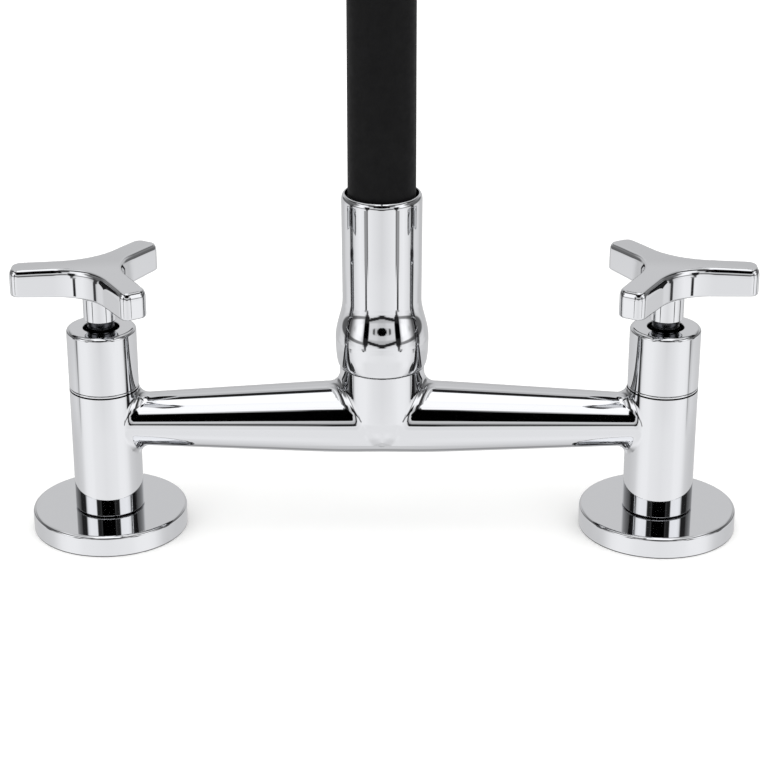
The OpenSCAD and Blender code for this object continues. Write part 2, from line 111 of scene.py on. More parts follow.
def addNode(tree, kind, links=None, **settings):
    node = tree.nodes.new(kind)
    for key, value in settings.items():
        setattr(node, key, value)
    for socket, value in (links or {}).items():
        if isinstance(value, bpy.types.NodeSocket):
            tree.links.new(value, node.inputs[socket])
        else:
            node.inputs[socket].default_value = value
    return node


# The studio: a pale floor, and a light tent that the chrome reflects

# The tent is written as bands of elevation. Each has its lower edge, how soft
# that edge is, and stops of azimuth away from the camera's side with the
# brightness there. The tones began as brightness readings at spots of the
# photograph's reflections. Edges and tones were then set, the tones to a
# twentieth. A dark shape stands in front, below a lamp.
backWall = [(112, 0.8), (126, 0.75), (138, 0.6), (180, 0.6)]
pastLamp = [(60, 1.2), (66, 0.9), (70, 0.3), (77, 0.2), (108, 0.15), (128, 0.35), (140, 0.55),
    (180, 0.6)]
besideArc = [(45, 0.02), (47, 0.15), (50, 0.3), (70, 0.25), (76, 0.15), (90, 0.05), (98, 0.1),
    (140, 0.15), (150, 0.45), (180, 0.55)]
aboveArc = [(48, 0.6), (54, 1.05), (60, 1.15), (68, 1.1), (74, 0.85), (80, 0.45), (88, 0.1),
    (98, 0.15), (140, 0.15), (150, 0.5), (180, 0.6)]
besideLamp = [(25, 0.75), (32.6, 0.75), (34.2, 0.05), (35.2, 0.0), (46.5, 0.02), (48.5, 0.6),
    (52, 1.1)] + pastLamp
tentBands = [
    (-90, 0, [(0, 0.9), (50, 0.8), (90, 0.75), (124, 0.75), (150, 0.65), (180, 0.7)]),
    (-70, 5, [(0, 0.9), (20, 0.95), (44, 0.9), (66, 0.9), (84, 0.85), (92, 0.6), (98, 0.35),
        (140, 0.25), (180, 0.35)]),
    (-52, 4, [(0, 0.9), (44, 0.9), (56, 0.95), (68, 0.95), (80, 0.75), (96, 0.4), (110, 0.5),
        (130, 0.6), (146, 0.8), (180, 0.55)]),
    (-34, 3, [(0, 0.9), (44, 0.9), (58, 1.0), (70, 1.0), (88, 0.65), (95, 0.4), (102, 0.4),
        (108, 0.6), (180, 0.65)]),
    (-28, 1.5, [(0, 0.9), (36, 0.95), (46, 1.0), (62, 1.0), (74, 0.95), (90, 0.75), (100, 0.7),
        (118, 0.65), (180, 0.6)]),
    (-23.7, 0.4, [(0, 0.85), (24, 0.9), (46, 1.0), (64, 1.0), (76, 0.95), (82, 0.8), (84, 0.4),
        (86, 0.4), (88.5, 0.7), (100, 0.8), (126, 0.7), (180, 0.6)]),
    (-22.2, 0.5, [(0, 0.8), (46, 1.0), (66, 1.0), (76, 0.95), (80, 0.8), (83, 0.2), (86.5, 0.2),
        (89, 0.6), (98, 0.75), (180, 0.6)]),
    (-21.3, 0.3, [(0, 0.85), (34, 0.95), (43.4, 1.0), (44.6, 0.02), (48.6, 0.02), (49.8, 0.9),
        (52, 1.0), (64, 1.0), (89.5, 0.8), (91.5, 0.05), (97, 0.05), (99, 0.65), (104, 0.8),
        (118, 0.8), (132, 0.6), (168, 0.6), (180, 0.8)]),
    (-20.0, 0.25, [(0, 0.85), (34, 0.95), (43, 0.95), (44, 0.15), (48.6, 0.15), (49.8, 0.95),
        (64, 1.0), (78, 0.9), (89.5, 0.75), (91.5, 0.05), (99, 0.05), (101, 0.7)] + backWall),
    (-19.5, 0.25, [(0, 0.8), (34, 0.95), (39, 0.95), (40.2, 0.15), (42, 0.2), (44, 0.35),
        (50.3, 0.35), (51.6, 0.95), (64, 1.0), (78, 0.9), (89, 0.7), (92, 0.05), (101, 0.05),
        (103, 0.75)] + backWall),
    (-16.0, 1.0, [(0, 0.85), (36, 0.95), (38, 0.9), (39.5, 0.1), (43.5, 0.1), (45.5, 0.85),
        (50, 0.95), (64, 1.0), (84, 0.7), (88, 0.7), (91, 0.05), (99, 0.05), (101, 0.6),
        (108, 0.8), (120, 0.75), (132, 0.6), (180, 0.6)]),
    (-10.6, 0.8, [(0, 0.02), (5, 0.02), (12, 0.75), (20, 0.85), (36, 0.9), (37.5, 0.05),
        (44, 0.05), (46, 0.5), (50, 0.95), (62, 1.0), (72, 0.9), (80, 0.7), (86, 0.35),
        (90, 0.05), (99, 0.05), (102, 0.45), (110, 0.7), (122, 0.7), (134, 0.6), (180, 0.55)]),
    (-7.6, 0.8, [(0, 0.02), (10, 0.02), (17, 0.8), (33, 0.85), (35.5, 0.02)] + besideArc),
    (-6.6, 0.5, [(0, 0.02), (19, 0.02), (26, 0.8), (33, 0.85), (35.5, 0.02)] + besideArc),
    (-5.2, 0.6, [(0, 0.02), (29, 0.02), (33, 0.4), (35.5, 0.02)] + besideArc),
    (-3.0, 0.8, [(0, 0.5), (6, 0.5), (11, 0.02), (46.5, 0.02)] + aboveArc),
    (-1.6, 0.6, [(0, 0.5), (14, 0.5), (20, 0.02), (46.5, 0.02)] + aboveArc),
    (-0.5, 0.6, [(0, 0.5), (23, 0.55), (29, 0.02), (46.5, 0.02)] + aboveArc),
    (0.5, 0.5, [(0, 0.5), (12, 0.55), (33, 0.55), (35.4, 0.02), (46.5, 0.02)] + aboveArc),
    (2.5, 1.0, [(0, 0.65), (7, 0.65), (14, 0.75), (32.6, 0.8), (34.2, 0.1), (35.2, 0.0),
        (46.5, 0.0), (48, 0.5), (50, 0.9), (54, 1.2), (66, 1.2), (71, 0.9), (76, 0.2),
        (88, 0.1), (136, 0.2), (144, 0.6), (180, 0.55)]),
    (7.1, 0.2, [(0, 0.0), (5, 0.0), (6.5, 0.6), (17, 0.6), (20, 0.3)] + besideLamp),
    (7.4, 0.2, [(0, 0.0), (8.5, 0.0), (10, 0.6), (17, 0.6), (19, 0.1), (22, 0.1)] + besideLamp),
    (7.9, 0.2, [(0, 0.0), (11.5, 0.0), (13, 0.6), (17, 0.6), (18.5, 0.1),
        (22.5, 0.1)] + besideLamp),
    (8.4, 0.4, [(0, 0.0), (13, 0.0), (14.5, 0.45), (16.5, 0.45), (18, 0.02), (23, 0.02),
        (25, 0.65), (37, 0.7), (41, 1.0)] + pastLamp),
    (10.5, 0.8, [(0, 0.0), (22, 0.0), (25, 0.55), (37, 0.7), (41, 1.0)] + pastLamp),
    (20, 1.0, [(0, 0.0), (21, 0.0), (24, 0.05), (27, 0.02), (37, 0.02), (39, 0.25), (41, 1.1),
        (66, 1.15), (76, 1.0), (81, 0.35), (84, 0.02), (106, 0.02), (112, 0.1), (130, 0.2),
        (150, 0.35), (160, 0.55), (170, 0.65), (180, 0.65)]),
    (28, 1.0, [(0, 0.0), (21, 0.0), (24, 0.02), (60, 0.05), (100, 0.05), (110, 0.1),
        (124, 0.25), (146, 0.45), (160, 0.6), (180, 0.65)]),
    (33, 1.5, [(0, 0.0), (15, 0.0), (18, 0.05), (22, 0.2), (27, 0.1), (60, 0.05), (90, 0.05),
        (110, 0.3), (124, 0.4), (140, 0.6), (180, 0.65)]),
    (39.5, 1.0, [(0, 0.0), (10.5, 0.02), (13, 0.4), (16, 1.0), (20, 1.1), (24, 0.3), (28, 0.05),
        (90, 0.05), (104, 0.3), (118, 0.35), (128, 0.55), (180, 0.7)]),
    (44, 1.0, [(0, 1.0), (6, 1.15), (20, 1.2), (24, 0.4), (28, 0.4), (60, 0.65), (90, 0.6),
        (110, 0.5), (135, 0.5), (150, 0.6), (180, 0.75)]),
    (52, 1.0, [(0, 1.2), (26, 1.2), (32, 1.05), (90, 1.0), (120, 0.75), (160, 0.65), (168, 0.5),
        (180, 0.45)]),
    (59.3, 0.6, [(0, 1.2), (33, 1.2), (35, 0.65), (60, 0.6), (132, 0.6), (138, 0.05),
        (142, 0.02), (180, 0.02)]),
    (66, 1.0, [(0, 1.2), (46, 1.15), (52, 0.5), (60, 0.45), (110, 0.6), (130, 0.75),
        (138, 0.05), (145, 0.02), (180, 0.02)]),
    (71.5, 0.8, [(0, 1.25), (180, 1.25)]),
]
tent = {
    "lightLevel": 0.85, "shadedSides": 0.02, "shadeLow": 8.0, "shadeHigh": 20.0,
    "gaps": [(0, 0), (30, 0), (34, 1), (53, 1), (57, 0), (142, 0), (144.5, 1), (151, 1),
             (154, 0), (180, 0)],
    "blueness": 1.01, "mirrors": 1.5,  # beyond this many reflections the shade begins
}


def bandColour(tree, bands, elevation, azimuth):
    colour = None
    for height, soft, stops in bands:
        ramp = addNode(tree, "ShaderNodeValToRGB", {"Fac": azimuth})
        elements = ramp.color_ramp.elements
        while len(elements) < len(stops):
            elements.new(0.5)
        for element, (angle, level) in zip(list(elements), stops):
            element.position = angle / 180
            element.color = (level, level, level * tent["blueness"], 1)
        if colour is None:
            colour = ramp.outputs["Color"]
            continue
        step = addNode(tree, "ShaderNodeMapRange", {
            "Value": elevation, "From Min": height - soft, "From Max": height + soft})
        mix = addNode(tree, "ShaderNodeMix", {
            0: step.outputs["Result"], 6: colour, 7: ramp.outputs["Color"]},
            data_type="RGBA")
        colour = mix.outputs[2]
    return colour


def buildTent():
    world = bpy.data.worlds.new("lightTent")
    bpy.context.scene.world = world
    world.use_nodes = True
    tree = world.node_tree
    tree.nodes.clear()
    direction = addNode(tree, "ShaderNodeTexCoord")
    parts = addNode(tree, "ShaderNodeSeparateXYZ", {0: direction.outputs["Generated"]})
    sine = addNode(tree, "ShaderNodeMath", {0: parts.outputs["Z"]}, operation="ARCSINE")
    elevation = addNode(tree, "ShaderNodeMath", {0: sine.outputs[0]}, operation="DEGREES")
    ahead = addNode(tree, "ShaderNodeMath", {0: parts.outputs["Y"], 1: -1.0},
                    operation="MULTIPLY")
    aside = addNode(tree, "ShaderNodeMath", {0: parts.outputs["X"]}, operation="ABSOLUTE")
    angle = addNode(tree, "ShaderNodeMath", {0: aside.outputs[0], 1: ahead.outputs[0]},
                    operation="ARCTAN2")
    azimuth = addNode(tree, "ShaderNodeMath", {0: angle.outputs[0], 1: math.pi},
                      operation="DIVIDE")
    pattern = bandColour(tree, tentBands, elevation.outputs[0], azimuth.outputs[0])
    path = addNode(tree, "ShaderNodeLightPath").outputs
    mirrored = addNode(tree, "ShaderNodeMath", {
        0: path["Is Glossy Ray"], 1: path["Is Transmission Ray"]}, operation="MAXIMUM")
    # Seen in two mirrors, the low part of the tent is in the faucet's own shade,
    # apart from the gaps between the handles and the spout
    shade = addNode(tree, "ShaderNodeMapRange", {
        "Value": elevation.outputs[0], "From Min": tent["shadeLow"],
        "From Max": tent["shadeHigh"], "To Min": tent["shadedSides"], "To Max": 1.0})
    gaps = bandColour(tree, [(-90, 0, tent["gaps"])], None, azimuth.outputs[0])
    shaded = addNode(tree, "ShaderNodeMath", {0: shade.outputs["Result"], 1: gaps},
                     operation="MAXIMUM")
    again = addNode(tree, "ShaderNodeMath", {0: path["Glossy Depth"], 1: tent["mirrors"]},
                    operation="GREATER_THAN")
    level = addNode(tree, "ShaderNodeMix", {
        0: again.outputs[0], 2: 1.0, 3: shaded.outputs[0]}, data_type="FLOAT")
    plain = (1, 1, 1, 1)
    tentLight, roomLight, backdrop = (
        addNode(tree, "ShaderNodeBackground", {"Color": c, "Strength": s}).outputs[0]
        for c, s in ((pattern, level.outputs[0]), (plain, tent["lightLevel"]), (plain, 1.0)))
    lit = addNode(tree, "ShaderNodeMixShader", {
        0: mirrored.outputs[0], 1: roomLight, 2: tentLight})
    seen = addNode(tree, "ShaderNodeMixShader", {
        0: path["Is Camera Ray"], 1: lit.outputs[0], 2: backdrop})
    addNode(tree, "ShaderNodeOutputWorld", {"Surface": seen.outputs[0]})


ground = {  # metres
    "half": 3.0, "first": "#F1F1F0", "second": "#F4F4F3", "grain": 0.003, "lift": 0.19,
    "near": 0.4, "far": 1.0,
}


def paintedFloor():
    material = bpy.data.materials.new("paintedFloor")
    material.use_nodes = True
    tree = material.node_tree
    tree.nodes.clear()
    place = addNode(tree, "ShaderNodeTexCoord").outputs["Object"]
    grain = addNode(tree, "ShaderNodeTexNoise", {
        "Vector": place, "Scale": 1 / ground["grain"], "Detail": 3.0})
    shade = addNode(tree, "ShaderNodeMix", {
        0: grain.outputs[0], 6: linear(ground["first"]), 7: linear(ground["second"])},
        data_type="RGBA")
    matt = addNode(tree, "ShaderNodeBsdfDiffuse", {"Color": shade.outputs[2]})
    path = addNode(tree, "ShaderNodeLightPath").outputs
    seen = addNode(tree, "ShaderNodeMath", {
        0: path["Is Camera Ray"], 1: path["Is Glossy Ray"]}, operation="MAXIMUM")
    either = addNode(tree, "ShaderNodeMath", {
        0: seen.outputs[0], 1: path["Is Transmission Ray"]}, operation="MAXIMUM")
    # Far from the faucet the floor fades into the white backdrop
    away = addNode(tree, "ShaderNodeVectorMath", {0: place}, operation="LENGTH")
    fade = addNode(tree, "ShaderNodeMapRange", {
        "Value": away.outputs["Value"], "From Min": ground["near"],
        "From Max": ground["far"], "To Min": ground["lift"], "To Max": 1.0},
        interpolation_type="SMOOTHSTEP")
    lift = addNode(tree, "ShaderNodeMath", {0: either.outputs[0], 1: fade.outputs["Result"]},
                   operation="MULTIPLY")
    glow = addNode(tree, "ShaderNodeEmission", {"Strength": lift.outputs[0]})
    total = addNode(tree, "ShaderNodeAddShader", {0: matt.outputs[0], 1: glow.outputs[0]})
    addNode(tree, "ShaderNodeOutputMaterial", {"Surface": total.outputs[0]})
    return material


def layFloor():
    half = ground["half"]
    mesh = bpy.data.meshes.new("floor")
    mesh.from_pydata([(-half, -half, 0), (half, -half, 0), (half, half, 0),
                      (-half, half, 0)], [], [(0, 1, 2, 3)])
    mesh.materials.append(paintedFloor())
    floor = placed("floor", mesh)
    floor.visible_glossy = False  # the chrome reflects the tent's own pale table


lamps = {  # place in metres, width in metres, power in watts
    "softTop": ((0.0, -0.15, 1.3), 1.1, 5.0),
    "softLeft": ((-0.9, -0.7, 0.7), 0.7, 2.0),
    "softRight": ((0.9, -0.6, 0.7), 0.7, 2.0),
}


def hangLamps():
    aim = Vector((0, 0, 0.1))
    for name, (place, width, power) in lamps.items():
        data = bpy.data.lights.new(name, "AREA")
        data.size, data.energy = width, power
        lamp = placed(name, data)
        lamp.location = place
        lamp.rotation_euler = (aim - Vector(place)).to_track_quat("-Z", "Y").to_euler()
        lamp.visible_glossy = False


bpy.context.scene.view_settings.view_transform = "Standard"
buildTent()
layFloor()
hangLamps()
print("studio built")


# Materials

def startMaterial(name, colour, metallic, roughness):
    material = bpy.data.materials.new(name)
    material.use_nodes = True
    tree = material.node_tree
    shader = tree.nodes["Principled BSDF"]
    shader.inputs["Base Color"].default_value = linear(colour)
    shader.inputs["Metallic"].default_value = metallic
    shader.inputs["Roughness"].default_value = roughness
    place = addNode(tree, "ShaderNodeTexCoord").outputs["Object"]
    return SimpleNamespace(material=material, tree=tree, shader=shader, place=place)


def varied(made, size, low, high, detail):
    noise = addNode(made.tree, "ShaderNodeTexNoise", {
        "Vector": made.place, "Scale": 1 / (size * mm), "Detail": detail})
    spread = addNode(made.tree, "ShaderNodeMapRange", {
        "Value": noise.outputs[0], "From Min": 0.3, "From Max": 0.7,
        "To Min": low, "To Max": high})
    return spread.outputs["Result"]


def unevenRoughness(made, size, low, high, detail=3.0):
    rough = varied(made, size, low, high, detail)
    made.tree.links.new(rough, made.shader.inputs["Roughness"])


def mottled(made, size, first, second, detail=3.0):
    mix = addNode(made.tree, "ShaderNodeMix", {
        0: varied(made, size, 0, 1, detail), 6: linear(first), 7: linear(second)},
        data_type="RGBA")
    made.tree.links.new(mix.outputs[2], made.shader.inputs["Base Color"])


def waved(made, size, depth, detail=3.0, strength=1.0):
    noise = addNode(made.tree, "ShaderNodeTexNoise", {
        "Vector": made.place, "Scale": 1 / (size * mm), "Detail": detail})
    bump = addNode(made.tree, "ShaderNodeBump", {
        "Height": noise.outputs[0], "Distance": depth * mm, "Strength": strength})
    made.tree.links.new(bump.outputs["Normal"], made.shader.inputs["Normal"])


def toolRings(made, pitch, distortion, depth):
    rings = addNode(made.tree, "ShaderNodeTexWave", {
        "Vector": made.place, "Scale": 1 / (pitch * mm) / 20, "Distortion": distortion},
        bands_direction="Z")
    bump = addNode(made.tree, "ShaderNodeBump", {
        "Height": rings.outputs[0], "Distance": depth * mm})
    made.tree.links.new(bump.outputs["Normal"], made.shader.inputs["Normal"])


def buffedChrome(name):
    # Cast brass, buffed and chrome plated: a near mirror, with the faintest
    # waviness that the buffing wheel leaves.
    made = startMaterial(name, "#E9EAEC", 1.0, 0.03)
    unevenRoughness(made, 14, 0.018, 0.040)
    waved(made, 22, 0.010, 1.0)
    return made


def chromedBrass():
    return buffedChrome("chromedBrass").material


# Heights of the painted shade line along the foot of the flange, cap and bridge body
footShadeLine = {"flange": 0.42, "cap": 0.2, "body": 0.55, "soft": 0.05}  # millimetres


def shadeLinedChrome(name, height):
    # The same chrome, with a dark line painted along its foot: painted shade
    # where the part meets the one below.
    made = buffedChrome(name)
    parts = addNode(made.tree, "ShaderNodeSeparateXYZ", {0: made.place})
    soft = footShadeLine["soft"]
    line = addNode(made.tree, "ShaderNodeMapRange", {
        "Value": parts.outputs["Z"], "From Min": (height - soft) * mm,
        "From Max": (height + soft) * mm})
    mix = addNode(made.tree, "ShaderNodeMix", {
        0: line.outputs["Result"], 6: linear("#101012"), 7: linear("#E9EAEC")},
        data_type="RGBA")
    made.tree.links.new(mix.outputs[2], made.shader.inputs["Base Color"])
    return made.material


# The flange, cap and bridge body each carry a painted shade line at their foot
def platedFlange():
    return shadeLinedChrome("platedFlange", footShadeLine["flange"])


def platedCap():
    return shadeLinedChrome("platedCap", footShadeLine["cap"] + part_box("left_cap")[0].z / mm)


def platedBody():
    return shadeLinedChrome("platedBody", footShadeLine["body"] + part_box("left_flange")[1].z / mm)


def burnishedShadedStem():
    # Turned steel stem, reflective, its colour dark: partly a burnished finish,
    # partly painted shade of the gap between the cap and the handle.
    # The tool's rings are drawn coarse enough to show.
    made = startMaterial("burnishedShadedStem", "#55565A", 1.0, 0.16)
    toolRings(made, 0.5, 0.3, 0.01)
    unevenRoughness(made, 3, 0.1, 0.22)
    return made.material


def siliconeRubber():
    # Extruded black silicone: matt, a little lighter at a grazing angle, with a
    # trace of dust. Its very fine grain is drawn coarse enough to show.
    made = startMaterial("siliconeRubber", "#0C0C0D", 0.0, 0.62)
    made.shader.inputs["Specular IOR Level"].default_value = 0.18
    made.shader.inputs["Sheen Weight"].default_value = 0.04
    made.shader.inputs["Sheen Roughness"].default_value = 0.4
    mottled(made, 6, "#0A0A0B", "#0F0F10", 5.0)
    unevenRoughness(made, 2.5, 0.56, 0.70)
    waved(made, 0.35, 0.03, 2.0, 0.5)
    return made.material


def nitrileRubber():
    # Moulded nitrile seal: dull black with a dusty bloom.
    made = startMaterial("nitrileRubber", "#1C1C1D", 0.0, 0.7)
    mottled(made, 2, "#161617", "#262627")
    waved(made, 0.4, 0.02)
    return made.material


def turnedBrass():
    # Brass bar turned on a lathe: warm, with dull patches, and fine tool rings
    # that are drawn coarse enough to show.
    made = startMaterial("turnedBrass", "#D9B56A", 1.0, 0.28)
    mottled(made, 7, "#DDBC74", "#BE9650")
    unevenRoughness(made, 4, 0.2, 0.38)
    toolRings(made, 0.4, 0.4, 0.012)
    return made.material


def stainlessSteel():
    # Drawn and rolled stainless steel: grey, with fine brushing round it, drawn
    # coarse enough to show.
    made = startMaterial("stainlessSteel", "#C3C5C8", 1.0, 0.26)
    made.place = addNode(made.tree, "ShaderNodeMapping", {
        "Vector": made.place, "Scale": (1.0, 1.0, 12.0)}).outputs[0]
    unevenRoughness(made, 4, 0.2, 0.34, 5.0)
    waved(made, 4, 0.01, 5.0)
    return made.material


def aluminaCeramic():
    # Lapped alumina: white, dense and smooth, with a slight grey mottle.
    made = startMaterial("aluminaCeramic", "#EEECE6", 0.0, 0.22)
    mottled(made, 1.5, "#F1EFEA", "#E2E0DA")
    return made.material


def acetalPlastic():
    # Natural acetal: milky white and slightly waxy.
    made = startMaterial("acetalPlastic", "#E9E8E2", 0.0, 0.42)
    mottled(made, 3, "#ECEBE6", "#DDDCD5")
    return made.material


def mouldedAbs():
    # Moulded ABS, satin black, with a spark-eroded grain that is drawn coarse
    # enough to show.
    made = startMaterial("mouldedAbs", "#1B1B1D", 0.0, 0.45)
    mottled(made, 5, "#1A1A1C", "#222224")
    waved(made, 0.5, 0.03)
    return made.material


def platedAbs():
    # Chrome-plated ABS on the spray head: as bright as the brass, and wavier.
    made = startMaterial("platedAbs", "#E6E8EA", 1.0, 0.04)
    unevenRoughness(made, 10, 0.03, 0.06)
    waved(made, 16, 0.02, 1.0)
    return made.material


def braidLiner():
    # Clear silicone liner: pale and a little cloudy.
    made = startMaterial("braidLiner", "#D9DAD6", 0.0, 0.35)
    mottled(made, 4, "#DCDDD9", "#CBCCC7")
    return made.material


makers = {
    "chrome": chromedBrass, "flange": platedFlange, "body": platedBody, "cap": platedCap,
    "stem": burnishedShadedStem, "hose": siliconeRubber, "seal": nitrileRubber,
    "brass": turnedBrass, "steel": stainlessSteel, "ceramic": aluminaCeramic,
    "acetal": acetalPlastic, "blackPlastic": mouldedAbs, "platedPlastic": platedAbs,
    "liner": braidLiner,
}
finish = {name: make() for name, make in makers.items()}
print("materials made")


# Shapes

def meanNormals(points, closed):
    edges = np.diff(np.vstack([points, points[:1]]) if closed else points, axis=0)
    edges /= np.maximum(np.linalg.norm(edges, axis=1), 1e-9)[:, None]
    across = np.stack([edges[:, 1], -edges[:, 0]], 1)
    if closed:
        normals = across + np.roll(across, 1, axis=0)
    else:
        normals = np.vstack([across[:1], across[1:] + across[:-1], across[-1:]])
    return normals / np.maximum(np.linalg.norm(normals, axis=1), 1e-9)[:, None]


# An outline runs counterclockwise through corners (r, z, rounding). A rounding
# of None marks a point on a smooth curve.
def outline(corners, closed=True, steps=6, support=0.05):
    corners = [tuple(c) + (0.1,) * (3 - len(c)) for c in corners]
    flat = np.array([c[:2] for c in corners], float)
    mean = meanNormals(flat, closed)
    rows = []
    for i, (r, z, rounding) in enumerate(corners):
        here = np.array([r, z], float)
        end = not closed and i in (0, len(corners) - 1)
        if rounding is None or end:
            rows.append((*here, *mean[i]))
            continue
        before, after = flat[i - 1] - here, flat[(i + 1) % len(flat)] - here
        la, lb = np.linalg.norm(before), np.linalg.norm(after)
        a, b = before / la, after / lb
        half = math.acos(max(-1, min(1, float(a @ b)))) / 2
        if half > math.pi / 2 - 0.01:
            rows.append((*here, *mean[i]))
            continue
        reach = min(rounding / math.tan(half), 0.48 * la, 0.48 * lb)
        radius = reach * math.tan(half)
        middle = here + (a + b) / np.linalg.norm(a + b) * (radius / math.sin(half))
        start, stop = here + a * reach - middle, here + b * reach - middle
        turn = math.pi - 2 * half
        convex = a[0] * b[1] - a[1] * b[0] < 0
        arc = [(math.sin((1 - t) * turn) * start + math.sin(t * turn) * stop)
               / math.sin(turn) for t in np.linspace(0, 1, steps + 1)]
        normals = [p / radius * (1 if convex else -1) for p in arc]
        if la - reach > 4 * support:
            rows.append((*(middle + start + a * support), *normals[0]))
        rows += [(*(middle + p), *n) for p, n in zip(arc, normals)]
        if lb - reach > 4 * support:
            rows.append((*(middle + stop + b * support), *normals[-1]))
    return np.array(rows)


def turned(profile, centre=(0, 0), segments=96, closed=True):
    angles = np.arange(segments) * 2 * math.pi / segments
    cos, sin = np.cos(angles), np.sin(angles)
    count = len(profile)
    vertices = np.empty((count, segments, 3))
    normals = np.empty_like(vertices)
    for array, r, z in ((vertices, 0, 1), (normals, 2, 3)):
        array[..., 0] = profile[:, r, None] * cos
        array[..., 1] = profile[:, r, None] * sin
        array[..., 2] = profile[:, z, None]
    vertices[..., :2] += centre
    return vertices.reshape(-1, 3), ringFaces(count, segments, closed), normals.reshape(-1, 3)


def ringFaces(count, segments, closed):
    faces = []
    for j in range(count if closed else count - 1):
        k = (j + 1) % count
        for i in range(segments):
            n = (i + 1) % segments
            faces.append((j * segments + i, j * segments + n,
                          k * segments + n, k * segments + i))
    return faces


# Part of a surface, turned from the corners of an open outline
def turnedPart(corners, centre=(0, 0), segments=96, steps=6):
    return turned(outline(corners, False, steps), centre, segments, False)


def wrapped(radiusAt, heights, centre=(0, 0), segments=120):
    angles = np.arange(segments) * 2 * math.pi / segments

    def surface(angle, height):
        r = radiusAt(angle, height)
        return np.stack([centre[0] + r * np.cos(angle), centre[1] + r * np.sin(angle),
                         height + 0 * angle], -1)

    angle, height = np.meshgrid(angles, np.asarray(heights, float))
    vertices = surface(angle, height)
    small = 2e-3
    normals = np.cross(surface(angle + small, height) - surface(angle - small, height),
                       surface(angle, height + small) - surface(angle, height - small))
    normals /= np.linalg.norm(normals, axis=-1)[..., None]
    return (vertices.reshape(-1, 3), ringFaces(len(heights), segments, False),
            normals.reshape(-1, 3))


def swept(radius, path, tangents, side, segments=64, inward=False):
    angles = np.arange(segments) * 2 * math.pi / segments
    cos, sin = np.cos(angles)[None, :, None], np.sin(angles)[None, :, None]
    up = np.cross(tangents, side)
    around = cos * side + sin * up[:, None]
    radius = np.broadcast_to(radius, len(path))[:, None, None]
    vertices = path[:, None] + around * radius
    faces = ringFaces(len(path), segments, False)
    if inward:
        faces = [f[::-1] for f in faces]
        around = -around
    return vertices.reshape(-1, 3), faces, np.broadcast_to(
        around, vertices.shape).reshape(-1, 3)


def slopeOf(field, points, h=0.01):
    slope = np.empty_like(points)
    for axis in range(3):
        step = np.zeros(3)
        step[axis] = h
        slope[:, axis] = (field(points + step) - field(points - step)) / (2 * h)
    return slope


def skinOf(field, low, high, step):
    axes = [np.arange(low[i], high[i] + step, step) for i in range(3)]
    shape = tuple(len(a) for a in axes)
    grid = np.stack(np.meshgrid(*axes, indexing="ij"), -1).reshape(-1, 3)
    value = field(grid).reshape(shape)
    cells = tuple(n - 1 for n in shape)
    total = np.zeros(cells + (3,))
    hits = np.zeros(cells)
    corners = [(i, j, k) for i in (0, 1) for j in (0, 1) for k in (0, 1)]
    for a in corners:
        for axis in range(3):
            if a[axis]:
                continue
            b = list(a)
            b[axis] = 1
            va = value[a[0]:a[0] + cells[0], a[1]:a[1] + cells[1], a[2]:a[2] + cells[2]]
            vb = value[b[0]:b[0] + cells[0], b[1]:b[1] + cells[1], b[2]:b[2] + cells[2]]
            cross = (va < 0) != (vb < 0)
            t = np.where(cross, va / np.where(cross, va - vb, 1), 0)
            point = np.zeros(cells + (3,))
            for i in range(3):
                point[..., i] = a[i]
            point[..., axis] = t
            total += point * cross[..., None]
            hits += cross
    active = hits > 0
    index = -np.ones(cells, int)
    index[active] = np.arange(active.sum())
    base = np.stack(np.meshgrid(*[np.arange(n) for n in cells], indexing="ij"), -1)
    inside = total[active] / hits[active][:, None]
    vertices = np.array(low) + (base[active] + inside) * step
    faces = []
    for axis in range(3):
        u, v = (axis + 1) % 3, (axis + 2) % 3
        lower = [slice(None)] * 3
        upper = [slice(None)] * 3
        lower[axis], upper[axis] = slice(0, -1), slice(1, None)
        first, second = value[tuple(lower)] < 0, value[tuple(upper)] < 0
        for sign in (True, False):
            where = np.argwhere((first == sign) & (second != sign))
            where = where[(where[:, u] > 0) & (where[:, v] > 0)]
            where = where[(where[:, u] < cells[u]) & (where[:, v] < cells[v])
                          & (where[:, axis] < cells[axis])]
            quad = []
            for du, dv in ((1, 1), (0, 1), (0, 0), (1, 0)):
                c = where.copy()
                c[:, u] -= du
                c[:, v] -= dv
                quad.append(index[c[:, 0], c[:, 1], c[:, 2]])
            quad = np.stack(quad if sign else quad[::-1], 1)
            faces += quad[(quad >= 0).all(1)].tolist()
    for _ in range(4):
        slope = slopeOf(field, vertices)
        size = np.maximum((slope ** 2).sum(1), 1e-9)
        vertices -= slope * (field(vertices) / size)[:, None]
    return vertices, faces


def trimmedSkin(field, skin, planes):
    mesh = bpy.data.meshes.new("trim")
    mesh.from_pydata(skin[0].tolist(), [], skin[1])
    work = bmesh.new()
    work.from_mesh(mesh)
    for point, outward in planes:
        everything = list(work.verts) + list(work.edges) + list(work.faces)
        bmesh.ops.bisect_plane(work, geom=everything, plane_co=point, plane_no=outward,
                               clear_outer=True, dist=1e-4)
    work.verts.ensure_lookup_table()
    work.verts.index_update()
    vertices = np.array([v.co[:] for v in work.verts])
    faces = [tuple(v.index for v in f.verts) for f in work.faces]
    work.free()
    bpy.data.meshes.remove(mesh)
    slope = slopeOf(field, vertices)
    return vertices, faces, slope / np.linalg.norm(slope, axis=1)[:, None]


def makePiece(name, parts, material, body, nodes):
    vertices, faces, normals, offset = [], [], [], 0
    for v, f, n in parts:
        vertices.append(v)
        normals.append(n)
        faces += [tuple(i + offset for i in face) for face in f]
        offset += len(v)
    vertices, normals = np.vstack(vertices) * mm, np.vstack(normals)
    mesh = bpy.data.meshes.new(name)
    mesh.from_pydata(vertices.tolist(), [], faces)
    mesh.polygons.foreach_set("use_smooth", [True] * len(mesh.polygons))
    mesh.normals_split_custom_set_from_vertices(normals.tolist())
    mesh.materials.append(finish[material])
    piece = placed(name, mesh)
    if body:
        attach(piece, body)
    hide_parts(*nodes)
    return piece


